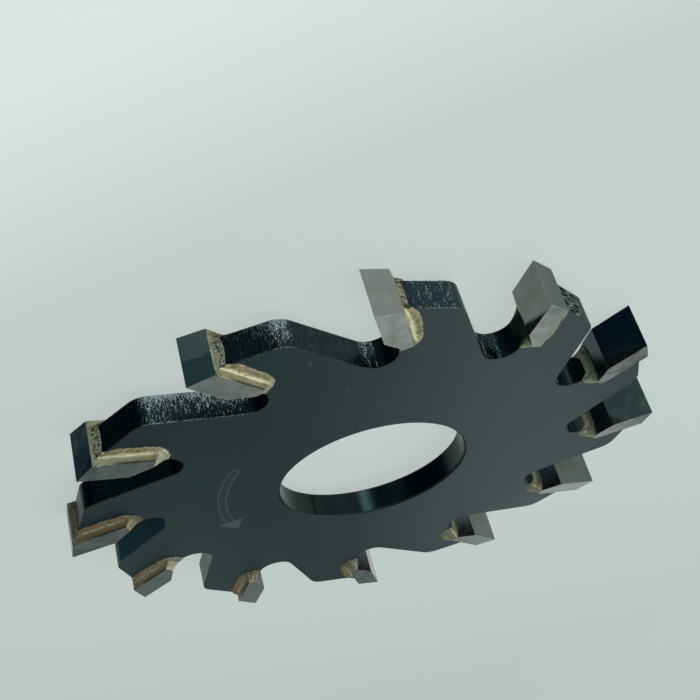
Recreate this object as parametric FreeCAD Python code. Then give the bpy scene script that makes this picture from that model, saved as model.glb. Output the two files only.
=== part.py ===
import FreeCAD, Part
import math
import os

# Narrow grooving saw blade, lying flat. Millimetres and degrees.
# Frame: bore axis along Z through the origin, Z = 0 under the tips' lower corners.
# Each tooth is drawn in its own frame: cutting corner at (0, CUT_R), X towards its land, Y outwards.
# Depth runs inwards along a tip's front face, and back is the distance behind that face.

# blade
TEETH = 12
CUT_R = 50.0            # cutting circle
PLATE_T = 4.6
BORE_R = 16.0
BORE_CH = 0.3           # chamfer on both bore edges
FLANGE_R = 27.5         # clamping face round the bore, a face of its own on both sides

# carbide tip
TIP_W = 7.8             # kerf, across the cutting edge
TIP_T = 3.77            # thickness behind the front face
TIP_L = 10.55           # depth of the inner end
RAKE = 10.6             # hook angle of the front face
TOP_RELIEF = 14.2       # fall of the top behind the cutting edge
SIDE_RELIEF = 3.4       # each side face narrows to the back
SIDE_TAPER = 0.44       # and its plane opens a little inwards
BEVEL_D = 3.285         # bevel at the front of the inner end, along the front face
BEVEL_B = 2.24          # and across the inner end

# seat, gullet and land of the plate
FILM = 0.2              # braze behind and under the tip
LIP = 0.19              # plate ahead of the tip's inner end
WALL_H = 2.4            # straight front wall of the gullet
GULLET_R = 3.0
BACK_SLOPE = 45.0       # run into the gullet, in the frame of the tooth behind it
LAND_STEP = 0.966       # land below the tip's rear top edge
LAND_SLOPE = 19.5
CORNER_R = 3.2          # rounding between land and back slope

# braze joint
LAND_UP, LAND_BACK = 0.8, 1.3     # strip across the land: up the tip, back along the land
BEAD_UP, BEAD_DOWN = 1.0, 0.9     # bead in the gullet: up the bevel, down the wall
BEAD_BULGE = 0.3
SIDE_W = 2.35           # fillet on the plate's face, widest behind the tip
END_W = 2.05            # and beyond the tip's inner end
SIDE_TOP = 0.12         # fillet stops this far below the tip's side face
HOLLOW = 0.45           # width left in the hollow of the fillet
CREST = 0.1             # and along its top
FILLET_STEPS = 6        # straight lengths along the fillet's outline

MID_Z = TIP_W / 2
PITCH = 360.0 / TEETH


def vec(x, y, z=0.0):
    return FreeCAD.Vector(x, y, z)


def toward(degrees):
    return vec(math.cos(math.radians(degrees)), math.sin(math.radians(degrees)))


INWARD, BACKWARD = toward(RAKE - 90), toward(RAKE)


def on_tip(depth, back):
    return vec(0, CUT_R) + INWARD * depth + BACKWARD * back


def turned(p, degrees):
    return toward(degrees) * p.x + toward(degrees + 90) * p.y


def crossing(p, d, q, e):
    """Where the line through p along d meets the line through q along e."""
    return p + d * (((q.x - p.x) * e.y - (q.y - p.y) * e.x) / (d.x * e.y - d.y * e.x))


def line(a, b):
    return Part.LineSegment(a, b).toShape()


def arc(a, mid, b):
    return Part.Arc(a, mid, b).toShape()


def slab(edges, thickness):
    """Edges of a closed outline, thickened evenly about the blade's middle plane."""
    face = Part.Face(Part.Wire(Part.__sortEdges__(edges)))
    body = face.extrude(vec(0, 0, thickness))
    body.translate(vec(0, 0, MID_Z - thickness / 2))
    return body


# corners of the tip, from the cutting corner round the back to the bevel
CUTTING = on_tip(0, 0)
REAR = on_tip(0, TIP_T)
TOP_REAR = crossing(CUTTING, toward(-TOP_RELIEF), REAR, INWARD)
END_REAR = on_tip(TIP_L, TIP_T)
END_FRONT = on_tip(TIP_L, BEVEL_B)
TIP = [CUTTING, TOP_REAR, END_REAR, END_FRONT, on_tip(TIP_L - BEVEL_D, 0)]

# corners of the seat, one film away from the tip
LAND_0 = TOP_REAR + INWARD * LAND_STEP
LAND_DIR = toward(-LAND_SLOPE)
WALL_X = END_FRONT.x - LIP
SEAT_IN = on_tip(TIP_L + FILM, TIP_T + FILM)
SEAT_TOP = crossing(SEAT_IN, INWARD, LAND_0, LAND_DIR)
SEAT_LIP = crossing(SEAT_IN, BACKWARD, vec(WALL_X, 0), vec(0, 1))
GULLET = vec(WALL_X - GULLET_R, SEAT_LIP.y - WALL_H)


def tip_side(p):
    """Half width of the tip at a point of its side face."""
    narrowed = p.x * math.tan(math.radians(SIDE_RELIEF))
    opened = (CUT_R - p.y) * math.tan(math.radians(SIDE_TAPER))
    return TIP_W / 2 - narrowed + opened


def make_tip():
    """Block with upright faces all round, between two slanting sides."""
    low = [vec(p.x, p.y, MID_Z - tip_side(p)) for p in TIP]
    high = [vec(p.x, p.y, MID_Z + tip_side(p)) for p in TIP]
    loops = [low, high]
    for i, j in zip(range(len(TIP)), list(range(1, len(TIP))) + [0]):
        loops.append([low[i], low[j], high[j], high[i]])
    faces = [Part.Face(Part.makePolygon(loop + loop[:1])) for loop in loops]
    solid = Part.makeSolid(Part.makeShell(faces))
    if solid.Volume < 0:
        solid.reverse()
    return solid


def nearest_on_tip(p):
    """Nearest point of the tip's back and inner end, which the fillet climbs."""
    back = (p - REAR).dot(INWARD)
    if back < TIP_L:
        return REAR + INWARD * back
    across = (p - END_FRONT).dot(BACKWARD)
    return END_FRONT + BACKWARD * min(max(across, 0), TIP_T - BEVEL_B)


def fillet_foot(start, end):
    """Oval outline of a side fillet on the plate's face, from the land to the gullet wall."""
    land_depth = (LAND_0 - REAR).dot(INWARD)
    centre = on_tip((land_depth + TIP_L) / 2, TIP_T * 0.8)
    long_r = (END_REAR - centre).dot(INWARD) + END_W
    short_r = (END_REAR - centre).dot(BACKWARD) + SIDE_W

    def bearing(p):
        return math.atan2((p - centre).dot(INWARD) / long_r, (p - centre).dot(BACKWARD) / short_r)

    a, b = bearing(start), bearing(end)
    turns = [a + (b - a) * i / FILLET_STEPS for i in range(1, FILLET_STEPS)]
    return [start] + [centre + BACKWARD * short_r * math.cos(t) + INWARD * long_r * math.sin(t)
                      for t in turns] + [end]


def make_braze():
    """Film in the seat with its land strip and gullet bead, and a fillet on each side of the plate."""
    up = LAND_0 - INWARD * LAND_UP
    back = LAND_0 + LAND_DIR * LAND_BACK
    bead_low = vec(WALL_X, SEAT_LIP.y - BEAD_DOWN)
    bead_top = END_FRONT + (TIP[4] - END_FRONT).normalize() * BEAD_UP
    strip_mid = (up + back + LAND_0) / 3
    bead_mid = (bead_low + bead_top) / 2 - vec(BEAD_BULGE, 0)
    film = slab([line(END_REAR, up), arc(up, strip_mid, back), line(back, SEAT_TOP),
                 line(SEAT_TOP, SEAT_IN), line(SEAT_IN, SEAT_LIP), line(SEAT_LIP, bead_low),
                 arc(bead_low, bead_mid, bead_top), line(bead_top, END_FRONT),
                 line(END_FRONT, END_REAR)], PLATE_T)

    foot = fillet_foot(back, bead_low)
    near = [up] + [nearest_on_tip(p) for p in foot[1:-1]] + [END_FRONT]
    plate_z, crest_z = PLATE_T / 2, tip_side(END_REAR) - SIDE_TOP
    hollow_z = plate_z + (crest_z - plate_z) / 3
    fillets = []
    for sign in (1, -1):
        sections = []
        for share, z in ((1, plate_z), (HOLLOW, hollow_z), (CREST, crest_z)):
            lift = vec(0, 0, MID_Z + sign * z)
            outer = [n + (f - n) * share + lift for f, n in zip(foot, near)]
            ring = outer + [END_FRONT + lift, END_REAR + lift, up + lift]
            sections.append(Part.makePolygon(ring + ring[:1]))
        fillets.append(Part.makeLoft(sections, True, True))
    return film.fuse(fillets).removeSplitter()


def tooth_edges(k):
    """Plate outline from one seat over the land and through the next gullet to the next seat."""
    gullet, lip, seat, top = (turned(p, -PITCH) for p in (GULLET, SEAT_LIP, SEAT_IN, SEAT_TOP))
    down, out = toward(-BACK_SLOPE - PITCH), toward(90 - BACK_SLOPE - PITCH)
    foot = gullet - out * GULLET_R
    wall = gullet + toward(-PITCH) * GULLET_R
    low = gullet + ((foot - gullet) + (wall - gullet)).normalize() * GULLET_R
    peak = crossing(LAND_0, LAND_DIR, foot, down)
    reach = CORNER_R * math.tan(LAND_DIR.getAngle(down) / 2)
    start, end = peak - LAND_DIR * reach, peak + down * reach
    centre = start + turned(LAND_DIR, -90) * CORNER_R
    crown = centre + (peak - centre).normalize() * CORNER_R
    first, start, crown, end, foot, low, wall, lip, seat, top = (
        turned(p, -PITCH * k) for p in (SEAT_TOP, start, crown, end, foot, low, wall, lip, seat, top))
    return [line(first, start), arc(start, crown, end), line(end, foot), arc(foot, low, wall),
            line(wall, lip), line(lip, seat), line(seat, top)]


def make_plate():
    plate = slab([e for k in range(TEETH) for e in tooth_edges(k)], PLATE_T)
    flange = slab([Part.makeCircle(FLANGE_R)], PLATE_T)
    plate = plate.cut(flange).fuse(flange).cut(slab([Part.makeCircle(BORE_R)], PLATE_T))
    for side in (1, -1):
        edge = vec(0, 0, MID_Z + side * PLATE_T / 2)
        plate = plate.cut(Part.makeCone(BORE_R + BORE_CH, BORE_R, BORE_CH, edge, vec(0, 0, -side)))
    return plate.Solids[0]


def save(shape, name):
    shape.exportStep(os.path.join("parts", name + ".step"))
    print(name, shape.ShapeType, shape.isValid(), round(shape.Volume, 2))


os.makedirs("parts", exist_ok=True)
save(make_plate(), "blade_body")
tip, braze = make_tip(), make_braze().Solids[0]
for k in range(TEETH):
    for shape, name in ((tip, "carbide_tip_%02d"), (braze, "braze_%02d")):
        placed = shape.copy()
        placed.rotate(vec(0, 0, 0), vec(0, 0, 1), -PITCH * k)
        save(placed, name % (k + 1))
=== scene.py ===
import math

import bmesh
import bpy
from mathutils import Matrix, Vector, noise

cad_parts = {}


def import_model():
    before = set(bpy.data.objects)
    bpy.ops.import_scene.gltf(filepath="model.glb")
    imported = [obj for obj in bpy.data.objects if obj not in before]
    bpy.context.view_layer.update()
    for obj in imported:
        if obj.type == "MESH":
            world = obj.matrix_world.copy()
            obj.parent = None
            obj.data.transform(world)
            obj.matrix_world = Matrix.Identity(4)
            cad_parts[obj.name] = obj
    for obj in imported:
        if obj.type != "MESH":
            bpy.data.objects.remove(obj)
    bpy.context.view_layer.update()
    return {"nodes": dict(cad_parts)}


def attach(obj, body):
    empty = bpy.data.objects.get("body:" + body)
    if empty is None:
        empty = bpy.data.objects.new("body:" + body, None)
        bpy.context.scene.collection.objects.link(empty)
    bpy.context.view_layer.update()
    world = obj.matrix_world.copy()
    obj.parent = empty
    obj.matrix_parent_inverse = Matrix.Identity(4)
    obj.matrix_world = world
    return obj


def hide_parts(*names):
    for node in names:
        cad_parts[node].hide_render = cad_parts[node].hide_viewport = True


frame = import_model()
NODES = frame["nodes"]
MM = 0.001

# Blade sizes in millimetres and degrees, the ones its solids are built from
TEETH = 12
PITCH = 360 / TEETH
CUT_R = 50.0
BORE_R = 16.0
HALF_PLATE = 2.3
MID_Z = 3.9
RAKE = 10.6
TOP_RELIEF = 14.2
SIDE_RELIEF = 3.4
SIDE_TAPER = 0.44
TIP_T = 3.77
TIP_L = 10.55
BEVEL_D = 3.285
BEVEL_B = 2.24
LAND_STEP = 0.966
LAND_SLOPE = 19.5
FILM = 0.2
LIP = 0.19

# Photographer's camera in metres and degrees: where it stands, what it looks at, and how far it is rolled
CAMERA_AT = (-0.0182, 0.1639, 0.0801)
CAMERA_AIM = (0.0095, 0.0263, 0.0039)
CAMERA_ROLL = 161.35
LENS_MM = 55.0
SENSOR_MM = 36
SHIFT = (-0.1148, 0.0281)

# Soft lamp over the blade, metres and watts
KEY_AT = (0.29, -0.07, 0.4)
KEY_SIZE = 0.7
KEY_WATTS = 1.7

# Directions of the room that the metal mirrors, and how bright its lamp is there
DARK_CORNER = Vector((-0.86, 0.28, -0.42)).normalized()
CAMERA_SIDE = Vector((0.0, 0.95, -0.3)).normalized()
CEILING = Vector((0.4, 0.5, -0.75)).normalized()
LAMP_SIDE = Vector((0.204, 0.883, -0.4226)).normalized()
LAMP_LEVEL = 12.0
# The room's lower and upper parts blend over this height on both sides of the horizon
HORIZON = 0.12
# Colour of the room at each level of light
ROOM_TINTS = [(0.0, (0.0, 0.004, 0.01, 1)), (0.024, (0.007, 0.024, 0.042, 1)),
              (0.06, (0.028, 0.06, 0.063, 1)), (0.12, (0.067, 0.12, 0.125, 1)),
              (0.3, (0.25, 0.3, 0.285, 1)), (0.6, (0.54, 0.6, 0.575, 1)), (1.0, (0.94, 1.0, 0.97, 1))]

# Directions that walls of the plate face, degrees: those that get painted glints, those whose grinding lines
# get painted highlights, the one land with a crackled coat and the one back slope painted lighter and bluer
# as a painted reflection
GLITTER_AZ = 76.0
LINES_AZ = 58.0
CRACKLE_AZ = 40.5
PAINTED_SLOPE_AZ = 143.0
# and the one tip whose top is painted in two tones as a painted reflection
TOP_REFLECTION_AZ = 105.8

# Stretches of the plate's edge, degrees behind the cutting corner of the tooth they belong to:
# where the land ends, and where the crest after it rises and falls
LAND_END = (12.0, 13.0)
CREST = ((11.5, 13.0), (17.0, 19.0))
# The blade's left part, by X in millimetres
LEFT_PART = (2.0, -1.0)

# Etched arrow beside the bore: radius, and its tail, neck and head length in degrees about the -X axis
ARROW_R = 25.5
ARROW_FROM, ARROW_TO, ARROW_HEAD = -32.0, 12.0, 8.0

# Short scratches on the upper face: place, direction and half length
NICKS = [(-8.6, 39.5, -73, 0.8), (-3.6, 30.2, 35, 0.5), (0.8, 23.9, -82, 0.5), (-35.2, 35.2, -64, 0.4)]

# Values that a braze bead's points carry, each from 0 to 1: rough and crusted, part of the rim round the
# tip's inner end, dark at the joint with the tip and darker in the gullet, and brown, partly as painted shade
LAYERS = ("crust", "rim", "contact", "bronze_and_shade")


def srgb(r, g, b):
    """Linear colour from 0 to 255 display values."""
    linear = [(c / 255 / 12.92) if c < 10.4 else ((c / 255 + 0.055) / 1.055) ** 2.4 for c in (r, g, b)]
    return tuple(linear) + (1,)


def toward(degrees):
    return Vector((math.cos(math.radians(degrees)), math.sin(math.radians(degrees)), 0))


# Down a tip's front face, away behind that face, and out of its top
INWARD, BACKWARD = toward(RAKE - 90), toward(RAKE)
OUTWARD = toward(90 - TOP_RELIEF)


class Graph:
    """A node tree, with short calls for its nodes."""

    def __init__(self, tree, output):
        self.tree = tree
        self.tree.nodes.clear()
        self.out = self.tree.nodes.new(output)

    def add(self, kind, inputs=None, **settings):
        node = self.tree.nodes.new("ShaderNode" + kind)
        for key, value in settings.items():
            setattr(node, key, value)
        for key, value in (inputs or {}).items():
            self.set(node, key, value)
        return node

    def set(self, node, key, value):
        if isinstance(value, bpy.types.NodeSocket):
            self.tree.links.new(value, node.inputs[key])
        else:
            node.inputs[key].default_value = value

    def link(self, socket):
        self.tree.links.new(socket, self.out.inputs[0])

    def math(self, op, a, b=0.0, clamp=False):
        return self.add("Math", {0: a, 1: b}, operation=op, use_clamp=clamp).outputs[0]

    def chain(self, op, values):
        total = values[0]
        for value in values[1:]:
            total = self.math(op, total, value)
        return total

    def mul(self, *values):
        return self.chain("MULTIPLY", values)

    def plus(self, *values):
        return self.chain("ADD", values)

    def minus(self, a, b):
        return self.math("SUBTRACT", a, b)

    def most(self, a, b):
        return self.math("MAXIMUM", a, b)

    def least(self, a, b):
        return self.math("MINIMUM", a, b)

    def absolute(self, value):
        return self.math("ABSOLUTE", value)

    def angle(self, a, b):
        return self.math("DEGREES", self.math("ARCTAN2", a, b))

    def radius(self, x, y):
        return self.math("SQRT", self.plus(self.mul(x, x), self.mul(y, y)))

    def xyz(self, vector):
        return self.add("SeparateXYZ", {0: vector}).outputs

    def dot(self, vector, axis):
        return self.add("VectorMath", {0: vector, 1: axis}, operation="DOT_PRODUCT").outputs["Value"]

    def away(self, vector, point):
        return self.add("VectorMath", {0: vector, 1: point}, operation="SUBTRACT").outputs[0]

    def scaled(self, vector, x, y, z):
        return self.add("VectorMath", {0: vector, 1: (x, y, z)}, operation="MULTIPLY").outputs[0]

    def turned(self, vector, angle):
        return self.add("VectorRotate", {"Vector": vector, "Angle": angle}, rotation_type="Z_AXIS").outputs[0]

    def step(self, value, low, high, to_low=0.0, to_high=1.0):
        return self.add("MapRange", {"Value": value, "From Min": low, "From Max": high,
                                     "To Min": to_low, "To Max": to_high}).outputs[0]

    def band(self, value, rise, fall):
        """Mask that rises over the first pair of values and falls over the second."""
        return self.mul(self.step(value, *rise), self.step(value, fall[1], fall[0]))

    def faces(self, normal, azimuth, low, high, *ends):
        """Step between two cosines of the angle from a direction in degrees."""
        return self.step(self.dot(normal, tuple(toward(azimuth))), low, high, *ends)

    def mix(self, factor, a, b):
        node = self.add("Mix", data_type="RGBA")
        for index, value in ((0, factor), (6, a), (7, b)):
            self.set(node, index, value)
        return node.outputs[2]

    def ramp(self, value, stops):
        node = self.add("ValToRGB", {0: value})
        marks = node.color_ramp.elements
        while len(marks) < len(stops):
            marks.new(0.5)
        for mark, (at, colour) in zip(marks, stops):
            mark.position = at
            mark.color = colour if isinstance(colour, tuple) else (colour, colour, colour, 1)
        return node.outputs[0]

    def noise(self, vector, scale, detail=2.0, roughness=0.5):
        return self.add("TexNoise", {"Vector": vector, "Scale": scale, "Detail": detail,
                                     "Roughness": roughness}).outputs[0]

    def cells(self, vector, scale, feature="F1"):
        return self.add("TexVoronoi", {"Vector": vector, "Scale": scale}, feature=feature).outputs["Distance"]

    def bump(self, height, distance, strength):
        return self.add("Bump", {"Height": height, "Distance": distance, "Strength": strength}).outputs[0]

    def surface(self, **inputs):
        names = {"color": "Base Color", "metallic": "Metallic", "rough": "Roughness", "normal": "Normal",
                 "ior": "IOR", "tint": "Specular Tint"}
        shader = self.add("BsdfPrincipled", {names[k]: v for k, v in inputs.items()})
        self.link(shader.outputs[0])

    def place(self):
        """Object position in millimetres and object-space normal."""
        coords = self.add("TexCoord")
        return self.scaled(coords.outputs["Object"], 1000, 1000, 1000), coords.outputs["Normal"]

    def tooth_turn(self, spot, lead):
        """Angle to the tooth that a point belongs to.

        Each tooth's share of the blade starts lead degrees ahead of its cutting corner."""
        x, y, _ = self.xyz(spot)
        index = self.math("FLOOR", self.math("DIVIDE", self.plus(self.angle(x, y), lead), PITCH))
        return self.math("RADIANS", self.mul(index, PITCH))


def material(name):
    made = bpy.data.materials.new(name)
    made.use_nodes = True
    return made, Graph(made.node_tree, "ShaderNodeOutputMaterial")


# ---- plate ----

class PlatePoint:
    """What the plate's masks share: where a point is, which way it faces, and the noises there."""

    def __init__(self, g):
        self.spot, self.normal = g.place()
        self.x, self.y, self.z = g.xyz(self.spot)
        self.radius = g.radius(self.x, self.y)
        self.along = g.minus(g.angle(self.x, self.y), g.math("DEGREES", g.tooth_turn(self.spot, 0)))
        self.up = g.absolute(g.xyz(self.normal)[2])
        self.cloud = g.noise(self.spot, 0.06, 3)
        self.fine = g.noise(self.spot, 4.0, 3, 0.6)
        # grinding lines run across the thickness
        self.lines = g.noise(g.scaled(self.spot, 6.5, 6.5, 0.3), 1.0, 2, 0.6)
        self.streak = g.noise(g.scaled(self.spot, 5.5, 5.5, 0.9), 1.0, 2, 0.6)
        self.grit = g.noise(g.scaled(self.spot, 6.2, 6.2, 3.8), 1.0, 2, 0.65)

        self.wall = g.step(self.up, 0.85, 0.6)
        self.bore = g.step(self.radius, BORE_R + 1.5, BORE_R + 1.0)
        self.in_bore = g.mul(self.bore, self.wall)
        self.cut_edge = g.mul(self.wall, g.minus(1.0, self.bore))
        past_seat = g.most(g.step(self.along, 5.5, 8.5), g.step(self.radius, 43.0, 41.0))
        self.ground = g.mul(self.cut_edge, past_seat)
        self.left = g.step(self.x, *LEFT_PART)
        self.land = g.step(self.along, LAND_END[1], LAND_END[0])
        self.dry = g.mul(g.faces(self.normal, CRACKLE_AZ, 0.98, 0.998), self.land, self.wall)


def marking(g, p):
    """Mask of a plain arrow for the way the blade turns, outlined beside the bore."""
    angle = g.angle(g.mul(p.y, -1.0), g.mul(p.x, -1.0))
    off = g.absolute(g.minus(p.radius, ARROW_R))
    before_head = g.step(angle, ARROW_TO, ARROW_TO - 0.3)
    body = g.mul(g.step(off, 0.8, 0.7), g.step(angle, ARROW_FROM, ARROW_FROM + 0.3), before_head)
    taper = g.step(angle, ARROW_TO + ARROW_HEAD, ARROW_TO, 0.0, 2.2)
    head = g.mul(g.step(g.minus(off, taper), 0.05, -0.1), g.step(angle, ARROW_TO - 0.3, ARROW_TO))
    inside = g.mul(g.step(off, 0.6, 0.5), g.step(angle, ARROW_FROM + 0.4, ARROW_FROM + 0.7), before_head)
    return g.minus(g.most(body, head), g.mul(inside, 0.9))


def nicks(g, spot):
    """Mask of a few short scratches on the upper face."""
    marks = []
    for x, y, degrees, length in NICKS:
        way = toward(degrees)
        off = g.away(spot, (x, y, MID_Z + HALF_PLATE))
        across = g.absolute(g.dot(off, (-way.y, way.x, 0)))
        ahead = g.absolute(g.dot(off, tuple(way)))
        height = g.dot(off, (0, 0, 1))
        marks.append(g.mul(g.step(across, 0.12, 0.04), g.step(ahead, length, length * 0.6),
                           g.step(height, -0.3, -0.2)))
    return g.plus(*marks)


def face_colour(g, p):
    """Coat on the plate's faces, with the etched arrow, dust and scratches."""
    face = g.ramp(p.cloud, [(0.35, srgb(6, 28, 31)), (0.5, srgb(9, 27, 34)), (0.65, srgb(8, 31, 36))])
    etched = g.mul(marking(g, p), g.step(p.fine, 0.3, 0.6, 0.55, 1.0))
    face = g.mix(etched, face, srgb(74, 84, 86))
    dust = g.step(g.cells(p.spot, 0.45), 0.035, 0.02)
    face = g.mix(g.mul(dust, 0.4), face, srgb(120, 130, 130))
    scratched = g.mul(nicks(g, p.spot), g.step(p.fine, 0.35, 0.55))
    return g.mix(scratched, face, srgb(104, 112, 114))


def cut_colour(g, p):
    """Coat on the cut edges: grinding lines with painted highlights, two painted reflections, and what sets a
    few teeth and the bore apart.
    """
    # Painted highlights: the grinding lines and streaks are drawn lighter mostly where a wall faces LINES_AZ
    lit = g.mul(g.faces(p.normal, LINES_AZ, 0.62, 0.9, 0.08, 1.0), g.step(p.x, 34.0, 30.0, 0.3, 1.0),
                g.step(p.y, 8.0, 20.0, 0.15, 1.0))
    lined = g.mul(g.step(p.lines, 0.46, 0.6), g.step(p.grit, 0.3, 0.55, 0.4, 1.0), lit)
    cut = g.mix(lined, srgb(1, 10, 16), srgb(28, 52, 62))
    cut = g.mix(g.mul(g.step(p.streak, 0.56, 0.62), lit, 0.6), cut, srgb(70, 100, 112))

    across = g.dot(p.spot, tuple(toward(CRACKLE_AZ - 90)))
    on_land = g.add("CombineXYZ", {0: g.mul(across, 0.5), 1: g.mul(p.z, 0.9)}).outputs[0]
    cells = g.cells(on_land, g.plus(g.mul(p.fine, 0.3), 0.85), "DISTANCE_TO_EDGE")
    crackle = g.mul(g.step(cells, 0.085, 0.035), p.dry, g.step(p.fine, 0.35, 0.5, 0.4, 1.0))
    cut = g.mix(p.dry, cut, srgb(44, 51, 54))
    cut = g.mix(crackle, cut, srgb(186, 192, 196))

    # Painted reflection: a lighter teal drawn on part of the cut edge
    painted_sheen = g.mul(g.band(p.x, (-1.0, 2.0), (20.0, 24.0)), g.band(p.along, (5.0, 7.0), (15.0, 18.0)))
    cut = g.mix(g.mul(painted_sheen, 0.7), cut, srgb(40, 68, 76))
    # Painted reflection: one back slope drawn lighter and bluer
    painted_slope = g.mul(g.faces(p.normal, PAINTED_SLOPE_AZ, 0.985, 0.991), g.step(p.y, 5.0, 0.0), g.step(p.x, -20.0, -25.0))
    blue = g.mix(g.step(p.lines, 0.4, 0.6), srgb(42, 76, 88), srgb(58, 94, 106))
    cut = g.mix(g.mul(painted_slope, 0.9), cut, blue)
    by_braze = g.mul(g.step(p.along, 9.5, 6.5), g.step(p.radius, 43, 45), g.step(p.fine, 0.3, 0.6, 0.3, 1.0))
    cut = g.mix(g.mul(by_braze, 0.6), cut, srgb(16, 8, 34))
    return g.mix(p.bore, cut, srgb(2, 12, 17))


def painted_glints(g, p):
    """Mask of painted glints: sparks on the ground walls, and painted highlights as dashes along their rims.
    """
    # Painted glints: pale, partly metallic specks, densest where a wall faces GLITTER_AZ
    facing = g.mul(g.faces(p.normal, GLITTER_AZ, 0.87, 0.97), g.step(p.x, 33.0, 25.0))
    patch = g.step(g.noise(p.spot, 0.28, 1), 0.35, 0.65, -0.035, 0.025)
    by_depth = g.mul(g.step(p.z, MID_Z + HALF_PLATE, MID_Z - HALF_PLATE, -0.1, 0.045), p.left)
    on_land = g.mul(p.land, g.step(p.x, LEFT_PART[1], LEFT_PART[0], -0.045, -0.075))
    crest = g.band(p.along, *CREST)
    on_crest = g.mul(crest, g.plus(g.mul(g.step(p.x, 4.0, 7.0), -0.07), g.mul(p.left, 0.02)))
    density = g.plus(g.mul(g.plus(p.streak, p.grit), 0.5), patch, by_depth, on_land, on_crest,
                     g.mul(facing, 0.07))
    spark = g.mul(p.ground, g.step(density, 0.572, 0.61), g.step(facing, 0, 1, 0.03, 1.0))
    # Painted highlights: pale dashes along the walls' rims
    by_rim = g.step(g.absolute(g.minus(p.z, MID_Z)), HALF_PLATE - 0.2, HALF_PLATE - 0.1)
    dashes = g.mul(by_rim, p.cut_edge, g.step(p.grit, 0.42, 0.58), g.step(p.along, 7.0, 12.0),
                   g.step(facing, 0, 1, 0.2, 0.95))
    return g.most(g.mul(spark, 0.92), dashes)


def plate_material():
    """Blue-black coating: satin faces, glossy cut edges with grinding lines, painted highlights on those
    lines and painted glints on the walls.
    """
    made, g = material("coated_plate")
    p = PlatePoint(g)
    # Mask of the painted glints and the painted highlight dashes
    glint_mask = painted_glints(g, p)
    coat = g.mix(p.wall, face_colour(g, p), cut_colour(g, p))
    # Pale colour of the painted glints
    metal = g.mix(g.step(p.grit, 0.5, 0.62), srgb(190, 203, 208), srgb(240, 242, 242))
    bevel = g.mul(g.step(p.radius, BORE_R + 0.45, BORE_R + 0.35), g.band(p.up, (0.5, 0.6), (0.75, 0.85)))
    rough = g.plus(g.step(p.cloud, 0.3, 0.7, 0.33, 0.39), g.mul(p.wall, -0.14), g.mul(bevel, 0.2),
                   g.mul(p.in_bore, -0.05), g.mul(glint_mask, 0.2))
    ior = g.plus(g.step(p.wall, 0, 1, 1.55, 1.42), g.mul(bevel, -0.15), g.mul(p.dry, -0.4),
                 g.mul(p.in_bore, 0.14))
    tint = g.mix(p.in_bore, (0.68, 0.95, 1.0, 1), (0.72, 0.95, 0.96, 1))
    scored = g.mul(p.ground, g.plus(g.mul(p.streak, 0.6), g.mul(p.grit, 0.35)))
    height = g.plus(scored, g.mul(p.fine, 0.03))
    g.surface(color=g.mix(glint_mask, coat, metal), metallic=g.mul(glint_mask, 0.65), rough=rough, ior=ior, tint=tint,
              normal=g.bump(height, 0.00003, 1.0))
    return made


# ---- tips ----

def corner_distance(g, local, z):
    """Distance in millimetres from the nearest sharp edge of a tip, in the frame of its tooth."""
    off = g.away(local, (0, CUT_R, 0))
    under_top = g.dot(off, tuple(-OUTWARD))
    behind = g.dot(off, tuple(BACKWARD))
    narrowing = (-math.tan(math.radians(SIDE_RELIEF)), -math.tan(math.radians(SIDE_TAPER)), 0)
    in_side = g.minus(g.plus(MID_Z, g.dot(off, narrowing)), g.absolute(g.minus(z, MID_Z)))
    return g.least(g.most(under_top, in_side), g.most(behind, g.least(under_top, in_side)))


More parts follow.
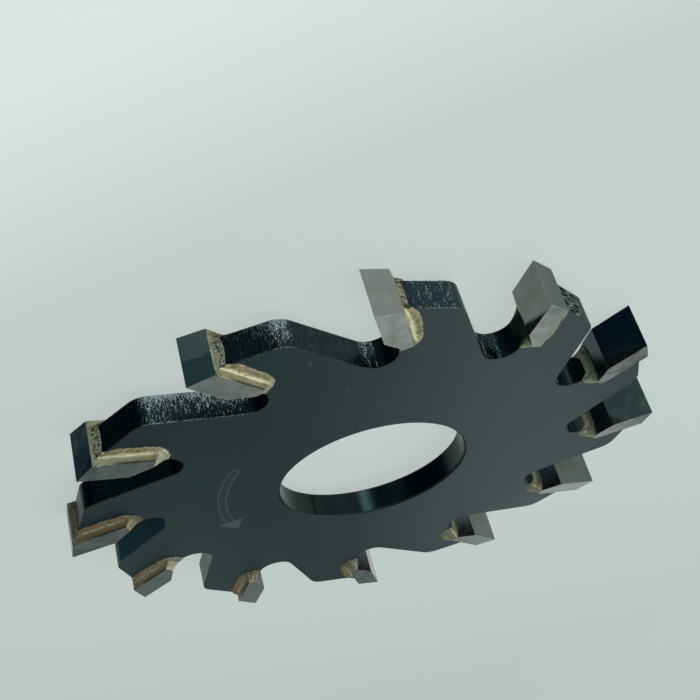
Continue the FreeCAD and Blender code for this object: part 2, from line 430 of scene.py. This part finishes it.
def carbide_material():
    """Ground tungsten carbide: satin sides, polished front and top, an end bevel with painted shade, pale
    edges that are partly wear and partly painted highlight, and one top with a painted reflection in two
    tones.
    """
    made, g = material("ground_carbide")
    spot, normal = g.place()
    turn = g.tooth_turn(spot, 4)
    local, facing = g.turned(spot, turn), g.turned(normal, turn)
    z = g.xyz(local)[2]
    front = g.step(g.dot(facing, tuple(-BACKWARD)), 0.9, 0.97)
    top = g.step(g.dot(facing, tuple(OUTWARD)), 0.9, 0.97)
    chord = Vector((BEVEL_D, BEVEL_B)).normalized()
    bevel = g.step(g.dot(facing, tuple(INWARD * chord.y - BACKWARD * chord.x)), 0.95, 0.98)
    cloud = g.noise(spot, 0.5, 3)
    grain = g.noise(spot, 5, 4, 0.65)
    lines = g.noise(g.scaled(local, 0.6, 14, 0.6), 1.0, 2)
    blots = g.noise(g.scaled(local, 0.5, 0.2, 0.5), 1.0, 2)

    colour = g.mix(g.step(cloud, 0.35, 0.65), srgb(161, 163, 159), srgb(173, 172, 169))
    stain = g.mul(g.step(blots, 0.45, 0.7), g.step(front, 0, 1, 0.15, 0.35))
    colour = g.mix(stain, colour, srgb(132, 122, 106))
    specks = g.mul(g.step(grain, 0.62, 0.74), g.step(front, 0, 1, 0.28, 0.1))
    colour = g.mix(specks, colour, srgb(112, 108, 98))
    # Pale edges: partly wear and partly a painted highlight along the tip's sharp edges
    worn_and_highlit = g.mul(g.step(corner_distance(g, local, z), 0.14, 0.04), g.step(grain, 0.35, 0.55))
    colour = g.mix(g.mul(worn_and_highlit, 0.5), colour, srgb(214, 216, 208))
    # Painted shade: the end bevel is drawn darker and bluer
    colour = g.mix(g.mul(bevel, 0.75), colour, srgb(92, 94, 106))
    polished = g.mul(top, g.step(g.plus(z, g.mul(cloud, 1.5)), 4.6, 4.9))
    # Painted reflection on one top only: darker teal on its polished part and pale on the rest
    top_reflection = g.mul(g.faces(normal, TOP_REFLECTION_AZ, 0.98, 0.99), 0.5)
    colour = g.mix(g.mul(polished, top_reflection), colour, srgb(84, 118, 122))
    colour = g.mix(g.mul(g.minus(top, polished), top_reflection), colour, srgb(214, 216, 212))

    rough = g.plus(g.step(cloud, 0.35, 0.65, 0.24, 0.34), g.mul(front, -0.17), g.mul(polished, -0.1),
                   g.mul(top, -0.05))
    height = g.plus(g.mul(lines, 0.5), g.mul(grain, 0.5))
    g.surface(color=colour, metallic=1.0, rough=rough, normal=g.bump(height, 0.000006, 0.6))
    return made


# ---- braze ----

def crust_colour(g, spot, up, hue, coarse, grain, bronze_and_shade):
    """Crusted braze: olive and reddish patches, pits, a strip on upright faces whose palest tones are painted
    highlight, and painted highlights on each lump where it isn't brown.
    """
    fresh = g.minus(1.0, bronze_and_shade)
    crust = g.ramp(hue, [(0.36, srgb(128, 122, 82)), (0.46, srgb(152, 136, 104)),
                         (0.56, srgb(172, 148, 130)), (0.66, srgb(148, 142, 100))])
    # Brown: partly the braze's own colour, partly painted shade on the darker teeth
    crust = g.mix(g.mul(bronze_and_shade, 0.8), crust, srgb(116, 96, 72))
    crust = g.mix(g.step(bronze_and_shade, 0.5, 0.0, 0.0, 0.3), crust, srgb(172, 170, 132))
    olive = g.mul(g.step(g.noise(spot, 0.9, 2), 0.5, 0.6), g.step(bronze_and_shade, 0.5, 0.0, 0.2, 0.7))
    crust = g.mix(olive, crust, srgb(112, 104, 58))
    # Strip on upright faces from dark to pale; its palest tones are painted highlight
    strip = g.ramp(coarse, [(0.38, srgb(74, 66, 46)), (0.46, srgb(158, 150, 118)),
                            (0.52, srgb(222, 216, 188)), (0.6, srgb(244, 242, 226))])
    crust = g.mix(g.mul(g.step(up, 0.7, 0.4, 0.0, 0.95), fresh), crust, strip)
    pits = g.step(g.plus(grain, g.mul(up, 0.09)), 0.47, 0.4)
    crust = g.mix(pits, crust, srgb(36, 33, 20))
    # Painted highlights on each lump, more on upright faces
    lump_highlights = g.mul(g.step(g.plus(grain, g.mul(up, -0.04)), 0.55, 0.62), fresh)
    return g.mix(lump_highlights, crust, srgb(226, 224, 204))


def braze_material():
    """Pale yellow filler metal, smooth where it wetted the tip and crusted on the plate, with painted
    highlights along its crest and on each lump, and painted shade in its brown.
    """
    made, g = material("braze")
    spot, normal = g.place()
    zone, rim, contact, bronze_and_shade = (g.add("Attribute", attribute_name=name).outputs["Fac"] for name in LAYERS)
    browned_and_shaded = g.math("MULTIPLY", bronze_and_shade, 1.3, clamp=True)
    up = g.absolute(g.xyz(normal)[2])
    hue = g.noise(spot, 0.8, 2)
    coarse = g.noise(spot, 1.8, 4, 0.55)
    grain = g.mix(g.step(up, 0.5, 0.8, 0.0, 0.7), g.noise(spot, 3.2, 3, 0.6), coarse)

    smooth = g.ramp(hue, [(0.35, srgb(198, 191, 144)), (0.5, srgb(220, 214, 170)),
                          (0.65, srgb(229, 225, 194))])
    # Brown smooth braze: partly its own colour, partly painted shade
    smooth = g.mix(browned_and_shaded, smooth, srgb(160, 137, 106))
    colour = g.mix(zone, smooth, crust_colour(g, spot, up, hue, coarse, grain, bronze_and_shade))
    # Painted highlight along the bead's crest, where the crust begins
    ridge_highlight = g.mul(g.band(zone, (0.01, 0.06), (0.14, 0.32)), g.step(rim, 0.4, 0.0), g.step(coarse, 0.38, 0.52))
    colour = g.mix(g.mul(ridge_highlight, 0.75), colour, srgb(240, 234, 208))
    # Rim darker on brown teeth: partly its own colour, partly painted shade
    rim_colour = g.mix(bronze_and_shade, srgb(182, 184, 160), srgb(84, 78, 54))
    colour = g.mix(g.mul(rim, g.step(grain, 0.35, 0.5, 0.45, 0.9)), colour, rim_colour)
    # Crusted knots at the rim: partly the braze's pale crust, with palest spots that are painted highlight
    knots = g.ramp(g.noise(spot, 4.0, 2), [(0.38, srgb(104, 99, 68)), (0.46, srgb(148, 144, 106)),
                                           (0.55, srgb(196, 194, 170)), (0.65, srgb(224, 222, 206))])
    # Knots darker on brown teeth, with the same painted shade
    knots = g.mix(browned_and_shaded, knots, srgb(96, 90, 66))
    colour = g.mix(g.step(g.mul(rim, zone), 0.3, 0.6, 0.0, 0.9), colour, knots)
    colour = g.mix(g.mul(contact, 0.97), colour, srgb(30, 31, 28))

    shine = g.mul(g.step(zone, 0, 1, 0.38, 0.35), g.step(contact, 0.3, 1.0, 1.0, 0.0))
    rough = g.plus(0.4, g.mul(zone, 0.18), g.mul(contact, 0.2))
    height = g.mul(grain, g.plus(0.05, g.mul(zone, 0.9)))
    g.surface(color=colour, metallic=shine, rough=rough, ior=g.step(contact, 0, 1, 1.5, 1.2),
              normal=g.bump(height, 0.0001, 0.8))
    return made


def dress(name, look):
    mesh = NODES[name].data
    mesh.materials.clear()
    mesh.materials.append(look)


# ---- braze beads, built in the frame of the tooth, millimetres ----

def on_tip(depth, back):
    return Vector((0, CUT_R, 0)) + INWARD * depth + BACKWARD * back


def crossing(p, d, q, e):
    """Where the line through p along d meets the line through q along e."""
    return p + d * (((q.x - p.x) * e.y - (q.y - p.y) * e.x) / (d.x * e.y - d.y * e.x))


REAR = on_tip(0, TIP_T)
TOP_REAR = crossing(on_tip(0, 0), toward(-TOP_RELIEF), REAR, INWARD)
END_REAR = on_tip(TIP_L, TIP_T)
END_FRONT = on_tip(TIP_L, BEVEL_B)
BEVEL_TOP = on_tip(TIP_L - BEVEL_D, 0)
LAND_0 = TOP_REAR + INWARD * LAND_STEP
LAND_DIR = toward(-LAND_SLOPE)
WALL_X = END_FRONT.x - LIP
SEAT_IN = on_tip(TIP_L + FILM, TIP_T + FILM)
SEAT_TOP = crossing(SEAT_IN, INWARD, LAND_0, LAND_DIR)
SEAT_LIP = crossing(SEAT_IN, BACKWARD, Vector((WALL_X, 0, 0)), Vector((0, 1, 0)))

# Braze on the plate's face: depth and distance behind the tip of its outline, and the depth that it has
# climbed to there
SPREAD = [(2.95, 1.1, 2.3), (3.6, 1.5, 3.2), (4.6, 1.95, 4.4), (6.3, 2.0, 6.2), (8.0, 2.0, 7.9),
          (9.4, 1.95, 9.3), (10.5, 1.8, 10.2)]
# and past the tip's inner end, with the distance behind the tip's front that it has reached along that end
# and its share of the rim
WRAP = [(11.5, 1.35, TIP_T, 0.4), (12.3, 0.75, TIP_T - 0.05, 0.9), (12.85, -0.1, TIP_T - 0.45, 1),
        (13.05, -0.9, BEVEL_B + 0.5, 1), (13.05, -1.6, BEVEL_B + 0.05, 1)]
# across the land: share of the half thickness, and reach back along the land
LAND_REACH = [(0.0, 1.12), (0.3, 1.1), (0.6, 1.02), (0.85, 0.95)]
# and down the gullet's wall: share of the half thickness, and drop below the lip
GULLET_DROP = [(0.85, 1.6), (0.6, 1.05), (0.3, 0.95), (0.0, 0.95)]

# Sections of the bead from the tip to the plate: share out along the plate, share up the tip, crust
SIDE_SECTION = [(-0.02, 1.0, 0), (0.035, 0.97, 0), (0.05, 0.8, 0), (0.065, 0.62, 0), (0.085, 0.45, 0),
                (0.13, 0.29, 0), (0.2, 0.18, 0.1), (0.28, 0.19, 0.1), (0.4, 0.14, 0.4), (0.58, 0.15, 1),
                (0.76, 0.13, 1), (0.88, 0.11, 0.9), (0.96, 0.07, 0.8), (1.0, -0.03, 0.7)]
LAND_SECTION = [(-0.02, 1.0, 0), (0.05, 0.96, 0.1), (0.09, 0.82, 0.3), (0.14, 0.68, 0.6), (0.2, 0.55, 0.9),
                (0.28, 0.45, 1), (0.37, 0.37, 1), (0.47, 0.31, 1), (0.58, 0.26, 1), (0.69, 0.21, 1),
                (0.8, 0.17, 1), (0.9, 0.12, 0.8), (0.97, 0.06, 0.4), (1.0, -0.03, 0)]
GULLET_SECTION = [(-0.02, 1.0, 0), (0.14, 1.03, 0), (0.28, 1.02, 0.1), (0.4, 0.97, 0.2), (0.5, 0.9, 0.2),
                  (0.6, 0.8, 0.2), (0.69, 0.69, 0.2), (0.77, 0.57, 0.2), (0.84, 0.45, 0.1),
                  (0.9, 0.32, 0.1), (0.95, 0.19, 0), (0.98, 0.09, 0), (0.995, 0.02, 0), (1.0, -0.03, 0)]

# Tooth by tooth: how brown the braze is, partly its own colour and partly painted shade on the teeth of the
# darker side
BRONZE_AND_SHADE = (0.1, 0.05, 0.1, 0.3, 0.4, 0.4, 0.65, 0.8, 0.6, 0.8, 0.05, 0.15)
# how much narrower than usual its bead on the plate is
SCANT = (0, 0.1, 0.05, 0, 0.05, 0, 0.05, 0, 0, 0.05, 0, 0)
# how much darker its bead in the gullet is
GULLET_DARK = (0.3, 1.0, 0.0, 0.1, 0.3, 0.3, 0.5, 0.3, 0.1, 0.1, 0.2, 0.2)
# and how smooth its rim round the inner end is
CALM_RIM = (0.6, 0.6, 0.4, 0.4, 0.4, 0.4, 0.4, 0.4, 0.3, 0.2, 0.15, 0.55)

RING = 26           # points of a section, less one
STEP = 0.12         # sections lie about this far apart at the bead's foot
ROOT_DEPTH = 0.06   # a section closes this deep inside the joint
FILM_INSET = 0.05   # the film stops this far inside the plate's faces


def half_width(p):
    """Half width of the tip at a point of its side face."""
    narrowed = p.x * math.tan(math.radians(SIDE_RELIEF))
    return MID_Z - narrowed + (CUT_R - p.y) * math.tan(math.radians(SIDE_TAPER))


def lifted(p, z):
    return Vector((p.x, p.y, z))


def clamped(value):
    return min(1, max(0, value))


def stations(side):
    """Half of the joint's loop, from the middle of the land to the middle of the gullet.

    A station has its root, the braze's end on the tip, its foot on the plate, how far the section is that
    of the land and that of the gullet, how far it smears over the tip's side face, and its share of
    the pale rim round the inner end."""
    z = HALF_PLATE * side
    bevel = (BEVEL_TOP - END_FRONT).normalized()
    rows = []

    def add(root, near, foot, low, high, land=0, gullet=0, smear=0, rim=0):
        rows.append((lifted(root, low), lifted(near, high), lifted(foot, low), land, gullet, smear, rim))

    for share, reach in LAND_REACH:
        add(LAND_0, REAR + INWARD * 1.8, LAND_0 + LAND_DIR * reach, z * share, z * share, land=1)
    add(LAND_0, REAR + INWARD * 1.85, LAND_0 + LAND_DIR * 0.92, z, z * 1.2, land=0.9)
    add(REAR + INWARD * 2.8, REAR + INWARD * 1.95, LAND_0 + LAND_DIR * 0.9, z, z * 1.5, land=0.5, smear=0.3)
    for depth, back, climbed in SPREAD:
        edge = REAR + INWARD * climbed
        smear = max(0.0, 1 - abs(climbed - 3.0) / 2.2) * 0.55
        foot = REAR + INWARD * depth + BACKWARD * back
        add(edge, edge, foot, z, half_width(edge) * side, smear=smear)
    for depth, back, reached, rim in WRAP:
        edge = on_tip(TIP_L, reached)
        foot = REAR + INWARD * depth + BACKWARD * back
        add(edge, edge, foot, z, half_width(edge) * side, rim=rim)
    foot = Vector((WALL_X, SEAT_LIP.y - 2.2, 0))
    add(SEAT_LIP, END_FRONT + bevel * 0.5, foot, z, z * 1.3, gullet=0.6, rim=1)
    for share, drop in GULLET_DROP:
        foot = Vector((WALL_X, SEAT_LIP.y - drop, 0))
        add(SEAT_LIP, END_FRONT + bevel * 0.85, foot, z * share, z * share, gullet=1)
    return rows


def places_on(loop):
    """Places along the loop, in stations, for the bead's sections."""
    places = []
    for i, row in enumerate(loop):
        steps = max(2, int((loop[(i + 1) % len(loop)][2] - row[2]).length / STEP))
        places.extend(i + j / steps for j in range(steps))
    return places


def spline(points, t):
    """Smooth value along a closed list of tuples of vectors and numbers."""
    n = len(points)
    i = int(math.floor(t)) % n
    u = t - math.floor(t)
    rows = zip(*(points[(i + k) % n] for k in (-1, 0, 1, 2)))
    return [q + ((r - p) * 0.5) * (u - 2 * u * u + u ** 3) + (r - q) * (3 * u * u - 2 * u ** 3)
            + ((s - q) * 0.5) * (u ** 3 - u * u) for p, q, r, s in rows]


def section(land, gullet, u):
    """Point of the bead's section at share u of its way from the tip to the plate."""
    at = u * (len(SIDE_SECTION) - 1)
    i = min(int(at), len(SIDE_SECTION) - 2)
    values = []
    for table in (SIDE_SECTION, LAND_SECTION, GULLET_SECTION):
        values.append([p + (q - p) * (at - i) for p, q in zip(table[i], table[i + 1])])
    shares = (1 - land - gullet, land, gullet)
    return [sum(share * row[c] for share, row in zip(shares, values)) for c in range(3)]


def wobble(p, scale, seed):
    spot = Vector((p.x / scale + seed * 17.3, p.y / scale - seed * 5.1, p.z / scale + seed * 3.7))
    return noise.noise(spot)


def add_ring(bm, layers, k, station):
    """One section of tooth k's bead, from its end on the tip to its foot on the plate."""
    root, near, foot, land, gullet, smear, rim = station
    land, gullet, rim = clamped(land), clamped(gullet), clamped(rim)
    on_face = (1 - land) * (1 - gullet)
    reach, climb = foot - root, near - root
    out, rise = reach.normalized(), climb.normalized()
    free = 1 - 0.7 * gullet - 0.6 * land
    reach *= 1 - SCANT[k - 1] * on_face
    reach += out * free * (wobble(foot, 2.0, k) * 0.24 + wobble(foot, 0.5, k + 20) * 0.12)
    climb *= 1 - 0.06 * abs(wobble(near, 0.7, k + 40)) * (1 - land)
    smear = max(0, smear * (1 + 0.8 * wobble(near, 0.9, k + 100))) * on_face
    flat = rim * (1 - gullet)
    soot = GULLET_DARK[k - 1]
    ring = []
    for j in range(RING + 1):
        u = j / RING
        a, b, crust = section(land, gullet, u)
        a += (1.02 * u - 0.02 - a) * flat
        b += ((1 - u) ** 1.15 - 0.03 * u - b) * flat
        outside = clamped((u - 0.05) / 0.2) * rim
        crust = max(crust * (1 - CALM_RIM[k - 1] * outside), min(0.9, 1.6 * rim * gullet))
        spot = root + reach * a + climb * b
        lean = clamped((u - 0.35) / 0.25)
        away = (out * (1 - lean) + rise * lean).normalized()
        lump = wobble(spot, 0.5, k + 60) * 0.15 + wobble(spot, 0.2, k + 80) * 0.06
        calm = wobble(spot, 1.1, k + 120) * 0.05 * math.sin(math.pi * u)
        spot += away * (lump * crust * (1 + rim * gullet) + calm)
        if j == 0 and smear > 0.02:
            spot = root + climb * (1 + 0.02 / climb.length) - BACKWARD * smear
        dark_line = clamped(1 - (j - 2) * 0.35) * (1 - min(1, 3 * smear)) * (1 - land) * (1 - flat)
        plateward = clamped((u - 0.3) / 0.3)
        # How much darker the bead is in the gullet, most towards the tip
        gullet_dark = gullet * (max(0.75, soot) * (1 - plateward) + soot * plateward) * (1 - 0.9 * rim)
        vert = bm.verts.new(spot)
        values = (crust, max(outside, smear if j < 2 else 0), max(dark_line, gullet_dark), BRONZE_AND_SHADE[k - 1])
        for layer, value in zip(layers, values):
            vert[layer] = value
        ring.append(vert)
    ring.append(bm.verts.new(root - (out + rise) * ROOT_DEPTH))
    return ring


def add_film(bm):
    """Braze between the tip and its seat."""
    outline = [END_REAR, TOP_REAR + INWARD * 0.5, LAND_0, SEAT_TOP, SEAT_IN, SEAT_LIP, END_FRONT]
    low = [bm.verts.new(lifted(p, FILM_INSET - HALF_PLATE)) for p in outline]
    high = [bm.verts.new(lifted(p, HALF_PLATE - FILM_INSET)) for p in outline]
    bm.faces.new(low)
    bm.faces.new(high)
    for i in range(len(outline)):
        m = (i + 1) % len(outline)
        bm.faces.new((low[i], high[i], high[m], low[m]))


def make_braze(k, look):
    """Braze round the seat of tooth k: a closed bead of changing section, and the film inside the seat."""
    loop = stations(1) + stations(-1)[::-1][1:-1]
    bm = bmesh.new()
    layers = [bm.verts.layers.float.new(name) for name in LAYERS]
    rings = [add_ring(bm, layers, k, spline(loop, t)) for t in places_on(loop)]
    for a, b in zip(rings, rings[1:] + rings[:1]):
        for j in range(len(a)):
            m = (j + 1) % len(a)
            bm.faces.new((a[j], b[j], b[m], a[m])).smooth = True
        for j in (0, RING):
            bm.edges.get((a[j], b[j])).smooth = False
    add_film(bm)
    bmesh.ops.recalc_face_normals(bm, faces=bm.faces)
    turn = Matrix.Rotation(math.radians(-PITCH * (k - 1)), 4, "Z")
    bm.transform(Matrix.Scale(MM, 4) @ turn @ Matrix.Translation((0, 0, MID_Z)))
    mesh = bpy.data.meshes.new("braze_bead_%02d" % k)
    bm.to_mesh(mesh)
    bm.free()
    mesh.materials.append(look)
    piece = bpy.data.objects.new("braze_bead_%02d" % k, mesh)
    bpy.context.collection.objects.link(piece)
    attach(piece, "root")
    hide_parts("braze_%02d" % k)


# ---- floor, world, lamp, camera ----

def floor():
    """Pale floor that takes the shadow, shows the photo's backdrop tones and stays out of reflections."""
    bpy.ops.mesh.primitive_plane_add(size=6, location=(0, 0, 0))
    plane = bpy.context.object
    plane.name = "floor"
    made, g = material("pale_floor")
    spot = g.add("TexCoord").outputs["Object"]
    nearness = g.step(g.dot(spot, (-0.35, 1.0, 0.0)), -0.2, 0.12)
    tone = g.ramp(nearness, [(0.0, srgb(188, 198, 194)), (0.5, srgb(197, 208, 204)),
                             (0.84, srgb(201, 212, 208)), (0.95, srgb(230, 239, 236))])
    rightward = g.step(g.dot(spot, (1.0, 0.0, 0.0)), -0.1, 0.1, 1.01, 1.08)
    ray = g.add("LightPath")
    lit = g.add("BsdfDiffuse", {"Color": srgb(196, 204, 200)}).outputs[0]
    glow = g.add("Emission", {"Color": tone, "Strength": rightward}).outputs[0]
    seen = g.add("MixShader", {0: 0.8, 1: lit, 2: glow}).outputs[0]
    plain = g.add("MixShader", {0: ray.outputs["Is Camera Ray"], 1: lit, 2: seen}).outputs[0]
    clear = g.add("BsdfTransparent").outputs[0]
    g.link(g.add("MixShader", {0: ray.outputs["Is Glossy Ray"], 1: plain, 2: clear}).outputs[0])
    plane.data.materials.append(made)


def lower_room(g, way, x, y):
    """Level of light below the horizon: a wall opposite the camera, and dark round the camera."""
    room = g.ramp(g.dot(way, DARK_CORNER), [(0.0, 0.29), (0.6, 0.33), (0.71, 0.34), (0.83, 0.2),
                                            (0.88, 0.03), (1.0, 0.01)])
    room = g.mul(room, g.plus(1.0, g.mul(g.step(x, 0.6, 0.75), g.step(y, -0.1, 0.5, 0.0, -0.35))))
    wall = g.mul(g.step(y, -0.35, -0.95, 0.0, 0.28), g.step(x, -0.45, -0.1, 0.15, 1.0))
    ahead = g.step(g.dot(way, CAMERA_SIDE), 0.66, 0.98, 1.0, 0.25)
    ceiling = g.mul(g.math("POWER", g.most(g.dot(way, CEILING), 0.0), 10.0), 0.53)
    far_right = g.step(x, 0.85, 0.88, 0.0, 0.06)
    return g.plus(g.mul(g.plus(room, wall), ahead), ceiling, far_right)


def upper_room(g, x, z):
    """Level of light above the horizon, which the faces and the tips' sides mirror."""
    room = g.ramp(g.step(x, -0.5, 0.5), [(0.38, 0.15), (0.55, 0.165), (0.64, 0.16), (0.7, 0.32), (0.77, 0.58),
                                         (0.81, 0.58), (0.84, 0.22), (0.86, 0.15), (0.885, 0.06)])
    top_left = g.mul(g.step(z, 0.51, 0.55), g.step(x, -0.03, -0.1), -0.06)
    top_right = g.mul(g.step(z, 0.5, 0.58, 0.0, 0.27), g.step(x, -0.14, 0.03))
    right = g.mul(g.step(z, 0.43, 0.36), g.step(z, 0.24, 0.31, 0.25, 1.0),
                  g.band(x, (0.05, 0.17), (0.32, 0.34)), 0.66)
    left = g.mul(g.step(z, 0.47, 0.38), g.step(x, 0.0, -0.06), 0.24)
    middle = g.mul(g.band(x, (0.0, 0.06), (0.16, 0.22)), g.band(z, (0.41, 0.45), (0.49, 0.53)), -0.1)
    low_right = g.plus(1.0, g.mul(g.step(z, 0.31, 0.27), g.step(x, 0.22, 0.27), -0.3))
    return g.mul(g.plus(room, top_left, top_right, right, left, middle), low_right)


def world():
    """Studio round the blade as its metal mirrors it, and a plain pale backdrop for the camera."""
    studio = bpy.data.worlds.new("studio")
    bpy.context.scene.world = studio
    studio.use_nodes = True
    g = Graph(studio.node_tree, "ShaderNodeOutputWorld")
    way = g.add("TexCoord").outputs["Generated"]
    x, y, z = g.xyz(way)
    above = g.step(z, -HORIZON, HORIZON)
    level = g.add("Mix", {0: above, 2: lower_room(g, way, x, y), 3: upper_room(g, x, z)},
                  data_type="FLOAT").outputs[0]
    bulb = g.step(g.dot(way, LAMP_SIDE), 0.992, 0.997, 1.0, LAMP_LEVEL)
    glow = g.add("Background", {"Color": g.ramp(level, ROOM_TINTS), "Strength": bulb}).outputs[0]
    pale = g.add("Background", {"Color": srgb(196, 207, 203), "Strength": 1.0}).outputs[0]
    ray = g.add("LightPath").outputs["Is Camera Ray"]
    g.link(g.add("MixShader", {0: ray, 1: glow, 2: pale}).outputs[0])


def lamp():
    light = bpy.data.lights.new("key", "AREA")
    light.shape = "DISK"
    light.size = KEY_SIZE
    light.energy = KEY_WATTS
    light.color = (0.96, 1.0, 0.99)
    obj = bpy.data.objects.new("key", light)
    bpy.context.collection.objects.link(obj)
    obj.location = KEY_AT
    obj.rotation_euler = (-Vector(KEY_AT)).to_track_quat("-Z", "Y").to_euler()


def camera():
    data = bpy.data.cameras.new("camera")
    data.lens, data.sensor_width, data.sensor_fit = LENS_MM, SENSOR_MM, "HORIZONTAL"
    data.shift_x, data.shift_y = SHIFT
    data.clip_start, data.clip_end = 0.005, 20
    obj = bpy.data.objects.new("camera", data)
    bpy.context.collection.objects.link(obj)
    look = (Vector(CAMERA_AIM) - Vector(CAMERA_AT)).to_track_quat("-Z", "Y").to_matrix().to_4x4()
    roll = Matrix.Rotation(math.radians(CAMERA_ROLL), 4, "Z")
    obj.matrix_world = Matrix.Translation(CAMERA_AT) @ look @ roll
    bpy.context.scene.camera = obj


camera()
floor()
world()
lamp()
plate, carbide, braze = plate_material(), carbide_material(), braze_material()
dress("blade_body", plate)
for n in range(1, TEETH + 1):
    dress("carbide_tip_%02d" % n, carbide)
    make_braze(n, braze)

bpy.context.scene.view_settings.view_transform = "Standard"
